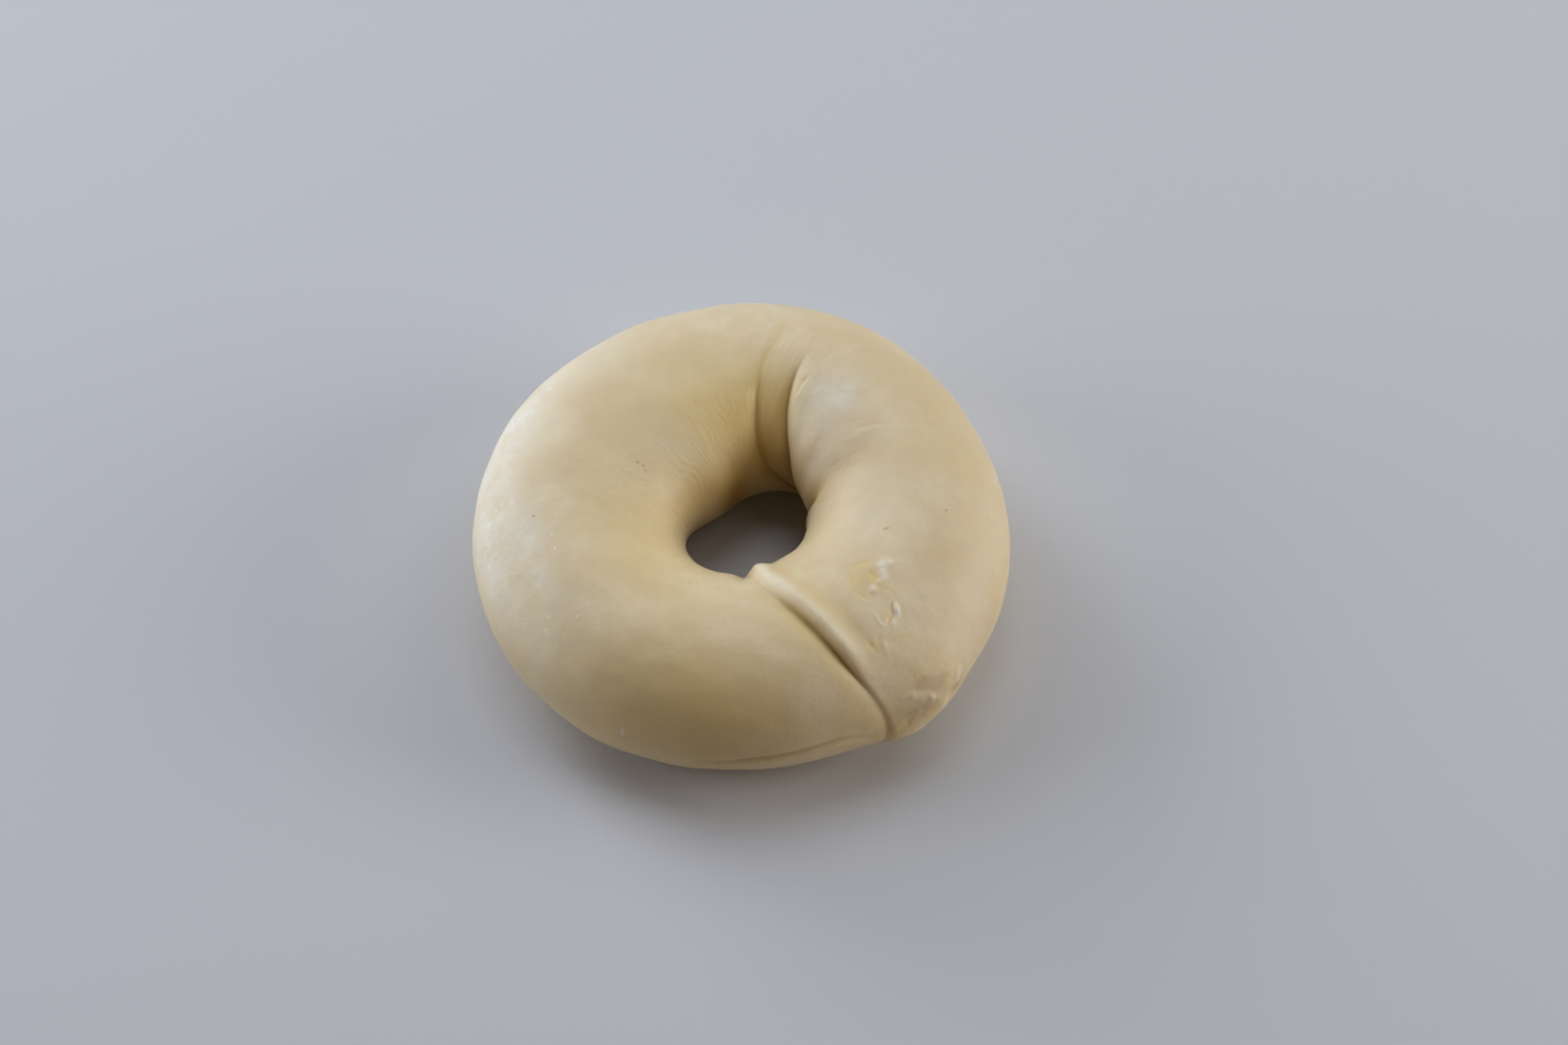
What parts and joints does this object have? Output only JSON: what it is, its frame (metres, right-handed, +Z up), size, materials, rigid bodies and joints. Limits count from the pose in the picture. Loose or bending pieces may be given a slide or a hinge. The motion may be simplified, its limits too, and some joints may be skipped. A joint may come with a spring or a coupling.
{
  "type": "unbaked bagel",
  "caption": "Unbaked bagel: a ring of raw wheat dough rolled and lapped over itself, resting on a flattened underside.",
  "frame": {"origin": "under the middle of the ring, on the surface it rests on", "axes": "+Z up, through the hole; +X to the right and +Y away, as seen from the side with the lapped end"},
  "size_m": [0.0894, 0.0876, 0.0292],
  "materials": {
    "dough": "satin, slightly moist, floured in places"
  },
  "bodies": {
    "root": {"dough_ring": "dough"}
  },
  "joints": []
}
